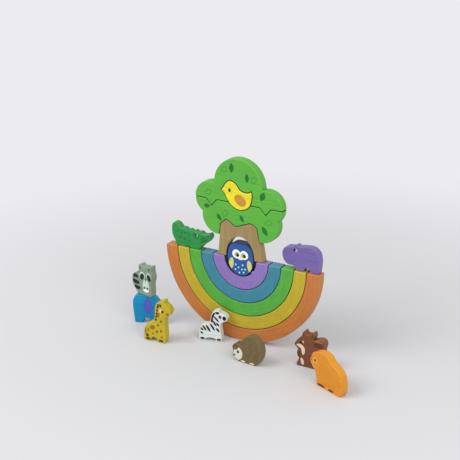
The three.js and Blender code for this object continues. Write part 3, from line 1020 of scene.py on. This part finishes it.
    def is_rounded(self, edge: bmesh.types.BMEdge) -> bool:
        """Tells whether an edge is sanded round: the rims of both faces and the outer corners."""
        depth = abs((edge.verts[0].co - edge.verts[1].co).dot(self.face.front))
        return depth < self.rounding or edge.calc_face_angle_signed(0.0) > self.corner_turn

    def shade(self, bm: bmesh.types.BMesh, contacts: Contacts) -> None:
        """Notes how far each point turns from wall to face, the seams that get painted shade and
        the crisp edges.

        Args:
            bm: The finished block.
            contacts: The blocks that it fits together with.
        """
        facing = bm.verts.layers.float.new("facing")
        seam = bm.verts.layers.float.new("seam")
        straight = self.face.thickness / 2 - self.rounding
        for vert in bm.verts:
            out = abs((vert.co - self.face.corner).dot(self.face.front))
            share = min(1.0, max(0.0, (out - straight) / self.rounding))
            vert[facing] = math.asin(share) / (math.pi / 2)
            vert[seam] = float(contacts.meet(self.node, vert.co))
        for face in bm.faces:
            face.smooth = True
        for edge in bm.edges:
            edge.smooth = edge.calc_face_angle(0.0) < self.corner_turn

    def dress(self, piece: bpy.types.Object, number: int, middle: Vector) -> None:
        """Stains the block, whose number shifts the pattern, as it lies to the rings' middle."""
        lie = Lie(math.atan2(self.face.along.y, self.face.along.x), number, middle)
        piece.data.materials.append(self.stain.material(self.node, lie))

    def kept(self, point: Point) -> Point:
        """Pulls a point of a mark that lies over the rounded edge back to the flat.

        Args:
            point: Metres on the face.

        Returns:
            The same point, or the nearest one on the edge of the flat.
        """
        inside, away, edge, inward = False, math.inf, Vector(), Vector()
        here = Vector(point)
        for a, b in zip(self.outline, self.outline[1:] + self.outline[:1]):
            start, ahead = Vector(a), Vector(b) - Vector(a)
            crosses = (a[1] > here.y) != (b[1] > here.y)
            if crosses and here.x < a[0] + (here.y - a[1]) * ahead.x / ahead.y:
                inside = not inside
            share = (here - start).dot(ahead) / ahead.length_squared
            close = start + ahead * min(1.0, max(0.0, share))
            if (here - close).length < away:
                away, edge = (here - close).length, close
                inward = Vector((-ahead.y, ahead.x)).normalized()
        margin = self.ink_margin * self.rounding
        if inside and away > margin:
            return point
        if away > self.on_edge * margin:
            inward = (here - edge if inside else edge - here) / away
        return tuple(edge + inward * margin)

    def print_marks(self) -> None:
        """Prints the marks on both faces, as thin films of ink."""
        if not self.marks:
            return
        inks = sorted({mark.ink for mark in self.marks}, key=lambda ink: ink.name)
        bottom = self.face.thickness / 2 - self.ink_depth
        bm = bmesh.new()
        for order, mark in enumerate(self.marks):
            line = [self.kept(point) for point in mark.rim(self.face)]
            top = self.ink_layer * (mark.layer + 1) + self.ink_step * order
            for side in (1, -1):
                rim = [self.face.point(point, side * bottom) for point in line]
                lift = self.face.front * side * (self.ink_depth + top)
                extrude(bm, rim, lift, inks.index(mark.ink))
        bmesh.ops.recalc_face_normals(bm, faces=bm.faces)
        piece = placed(bm, f"{self.node}_print")
        for ink in inks:
            piece.data.materials.append(ink.material())
        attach(piece, self.node)


@dataclass
class Assembly:
    """A group of blocks that is built and dressed together."""

    middle: Vector
    seam_reach: float = 1.2 * MM

    def blocks(self) -> list[Block]:
        """Lists the blocks of the group."""
        raise NotImplementedError

    def fitted(self) -> dict[str, float]:
        """Names the blocks that fit into each other, with the reach of their seams, which get
        painted shade.
        """
        return {}

    def build(self, number: int) -> int:
        """Builds, stains and prints every block.

        Args:
            number: Number of blocks that were made before.

        Returns:
            Number of blocks made so far.
        """
        contacts = Contacts(self.fitted())
        for block in self.blocks():
            piece = block.build(contacts)
            block.dress(piece, number, self.middle)
            block.print_marks()
            number += 1
        return number


@dataclass
class Rainbow(Assembly):
    """Five nested half rings."""

    rounding: float = 1.5 * MM
    swell: float = 0.2 * MM
    # Painted shade: the hole's wall this near the owl is darkened for the shadow in the gap round
    # it.
    owl_shade_reach: float = 5 * MM
    stains: dict[str, Rgb] = field(default_factory=lambda: {
        "arc_orange": (192, 118, 58),
        "arc_yellow": (187, 166, 44),
        "arc_green": (82, 166, 60),
        "arc_blue": (58, 130, 152),
        "arc_purple": (138, 112, 180),
    })

    def fitted(self) -> dict[str, float]:
        """Names the rings, which nest, and the owl in their hole, whose wider reach paints shade
        on the hole's wall round the owl.
        """
        return {**dict.fromkeys(self.stains, self.seam_reach), "owl": self.owl_shade_reach}

    def blocks(self) -> list[Block]:
        """Lists the rings, from the largest to the smallest.

        Returns:
            The blocks.
        """
        return [
            Block(name, Stain(colour, Grain.ROUND), self.rounding, swell=self.swell)
            for name, colour in self.stains.items()
        ]


@dataclass
class Tree(Assembly):
    """The trunk, the two halves of the crown and the bird between them."""

    rounding: float = 1.4 * MM
    bird_rounding: float = 1.3 * MM
    # Painted shade: the arch's wall this near the owl is darkened for the shadow in the gap round
    # it.
    owl_shade_reach: float = 2.6 * MM
    trunk: Stain = Stain((154, 132, 86), Grain.UPRIGHT, contrast=0.14)
    crown: Stain = Stain((88, 172, 60), contrast=0.09, bare_and_lit_walls=0.05)
    bird: Stain = Stain((230, 216, 44))

    def fitted(self) -> dict[str, float]:
        """Names the blocks, which join like a puzzle, and the owl in the trunk's arch, whose reach
        paints shade on the arch's wall round it.
        """
        nodes = ("trunk", "crown_lower", "crown_upper", "bird")
        return {**dict.fromkeys(nodes, self.seam_reach), "owl": self.owl_shade_reach}

    def blocks(self) -> list[Block]:
        """Lists the blocks from the trunk upwards.

        Returns:
            The blocks.
        """
        return [
            Block("trunk", self.trunk, self.rounding),
            Block("crown_lower", self.crown, self.rounding, self.middle),
            Block("crown_upper", self.crown, self.rounding, self.middle),
            Block("bird", self.bird, self.bird_rounding),
        ]


@dataclass
class Riders(Assembly):
    """The owl in the rainbow's hole and the animals on the ends of the rings."""

    rounding: float = 1.3 * MM
    # The owl's walls and rounded edges take a dark navy rim: partly its navy sides, partly painted
    # shade for the narrow gap round it in the rings' hole.
    owl: Stain = Stain((40, 86, 154), rim=(30, 46, 88), edge_wear_and_highlight=0.0)
    owl_swell: float = 0.6 * MM
    crocodile: Stain = Stain((38, 138, 66))
    hippo: Stain = Stain((112, 96, 162))

    def blocks(self) -> list[Block]:
        """Lists the owl, the crocodile and the hippo.

        Returns:
            The blocks.
        """
        return [
            Block("owl", self.owl, self.rounding, self.middle, self.owl_swell),
            Block("crocodile", self.crocodile, self.rounding),
            Block("hippo", self.hippo, self.rounding),
        ]


@dataclass
class Herd(Assembly):
    """The animals on the floor, and the raccoon on the elephant's back."""

    rounding: float = 1.05 * MM
    corner_turn: float = 0.7
    stains: dict[str, Rgb] = field(default_factory=lambda: {
        "elephant": (0, 136, 184),
        "raccoon": (128, 148, 130),
        "giraffe": (188, 170, 34),
        "zebra": (218, 224, 222),
        "hedgehog": (106, 92, 58),
        "squirrel": (118, 70, 42),
        "lion": (218, 140, 28),
    })

    def blocks(self) -> list[Block]:
        """Lists the animals.

        Returns:
            The blocks.
        """
        return [
            Block(name, Stain(colour), self.rounding, corner_turn=self.corner_turn)
            for name, colour in self.stains.items()
        ]


@dataclass(frozen=True)
class Lamp:
    """A soft lamp: where it hangs, the side of its square in metres and its power in watts."""

    name: str
    place: tuple[float, float, float]
    size: float
    power: float


@dataclass
class Studio:
    """A plain pale floor, soft light from the left and the camera."""

    image: int = 460
    azimuth: float = 31.71
    elevation: float = 20.77
    roll: float = -0.84
    distance: float = 1.53
    focal_pixels: float = 1248.0
    aim: Vector = field(default_factory=lambda: Vector((0.0, 0.0, 0.14)))
    middle_pixel: Point = (242.7, 234.7)
    sensor: float = 36.0
    clip: Point = (0.05, 40.0)
    floor_half: float = 9.0
    floor_near: Rgb = (212, 212, 215)
    floor_roughness: float = 0.7
    floor_specular: float = 0.2
    fade_start: float = 0.22
    fade_end: float = 0.75
    backdrop: Rgb = (236, 235, 240)
    sky_strength: float = 0.68
    lamps: tuple[Lamp, ...] = (
        Lamp("key_lamp", (-1.1, -1.3, 1.7), 1.4, 25.0),
        Lamp("fill_lamp", (1.5, -0.9, 1.2), 1.2, 14.0),
    )

    def floor(self) -> None:
        """Lays the floor, which fades into the backdrop's tone away from the blocks."""
        bm = bmesh.new()
        bmesh.ops.create_grid(bm, x_segments=2, y_segments=2, size=self.floor_half)
        floor = placed(bm, "floor")
        sheet = MaterialSheet("pale_floor")
        sheet.feed(sheet.surface, {
            "Base Color": linear(self.floor_near),
            "Roughness": self.floor_roughness,
            "Specular IOR Level": self.floor_specular,
        })
        away = sheet.add("ShaderNodeVectorMath", {0: sheet.coords()}, operation="LENGTH")
        fade = sheet.add("ShaderNodeMapRange", {
            "Value": away.outputs["Value"],
            "From Min": self.fade_start,
            "From Max": self.fade_end,
        }, interpolation_type="SMOOTHSTEP")
        glow = sheet.add("ShaderNodeEmission", {"Color": linear(self.backdrop)})
        both = sheet.add("ShaderNodeMixShader", {
            0: sheet.times(fade.outputs["Result"], sheet.seen()),
            1: sheet.surface.outputs["BSDF"],
            2: glow.outputs["Emission"],
        })
        sheet.feed(sheet.tree.nodes["Material Output"], {"Surface": both.outputs["Shader"]})
        floor.data.materials.append(sheet.material)

    def hang(self, lamp: Lamp) -> None:
        """Hangs a lamp that looks at the blocks.

        Args:
            lamp: The lamp.
        """
        data = bpy.data.lights.new(lamp.name, "AREA")
        data.size = lamp.size
        data.energy = lamp.power
        light = bpy.data.objects.new(lamp.name, data)
        light.location = lamp.place
        way = self.aim - Vector(lamp.place)
        light.rotation_euler = way.to_track_quat("-Z", "Y").to_euler()
        bpy.context.collection.objects.link(light)

    def sky(self) -> None:
        """Sets an even white sky, which the camera sees in the backdrop's tone."""
        world = bpy.data.worlds.new("even_sky")
        bpy.context.scene.world = world
        sheet = ShaderSheet(world)
        sheet.tree.nodes.clear()
        white = (1.0, 1.0, 1.0, 1.0)
        light, seen = (
            sheet.add("ShaderNodeBackground", {"Color": colour, "Strength": strength})
            for colour, strength in ((white, self.sky_strength), (linear(self.backdrop), 1.0))
        )
        both = sheet.add("ShaderNodeMixShader", {
            0: sheet.seen(), 1: light.outputs["Background"], 2: seen.outputs["Background"],
        })
        sheet.add("ShaderNodeOutputWorld", {"Surface": both.outputs["Shader"]})

    def camera(self) -> None:
        """Stands the camera at the photograph's viewing angle."""
        azimuth, elevation, roll = map(math.radians, (self.azimuth, self.elevation, self.roll))
        level = math.cos(elevation)
        back = Vector((math.sin(azimuth) * level, -math.cos(azimuth) * level, math.sin(elevation)))
        right = Vector((math.cos(azimuth), math.sin(azimuth), 0.0))
        top = back.cross(right)
        turned_right = right * math.cos(roll) + top * math.sin(roll)
        turned_top = top * math.cos(roll) - right * math.sin(roll)
        data = bpy.data.cameras.new("camera")
        data.sensor_width = self.sensor
        data.sensor_fit = "HORIZONTAL"
        data.lens = self.focal_pixels / self.image * self.sensor
        data.shift_x = (self.image / 2 - self.middle_pixel[0]) / self.image
        data.shift_y = (self.middle_pixel[1] - self.image / 2) / self.image
        data.clip_start, data.clip_end = self.clip
        camera = bpy.data.objects.new("camera", data)
        axes = Matrix((turned_right, turned_top, back)).transposed().to_4x4()
        camera.matrix_world = Matrix.Translation(self.aim + back * self.distance) @ axes
        bpy.context.collection.objects.link(camera)
        bpy.context.scene.camera = camera

    def build(self) -> None:
        """Sets the floor, the lamps, the sky, the camera and the plain view transform."""
        self.floor()
        for lamp in self.lamps:
            self.hang(lamp)
        self.sky()
        self.camera()
        bpy.context.scene.view_settings.view_transform = "Standard"


def main() -> None:
    """Builds the studio and every group of blocks, and notes the sizes."""
    logging.basicConfig(level=logging.INFO, format="%(name)s %(message)s")
    Studio().build()
    middle = Vector((0.0, 0.0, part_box("arc_orange")[1].z))
    made = 0
    for assembly in (Rainbow(middle), Tree(middle), Riders(middle), Herd(middle)):
        made = assembly.build(made)
    log.info("%d blocks in all", made)
    bpy.context.view_layer.update()


if __name__ == "__main__":
    main()
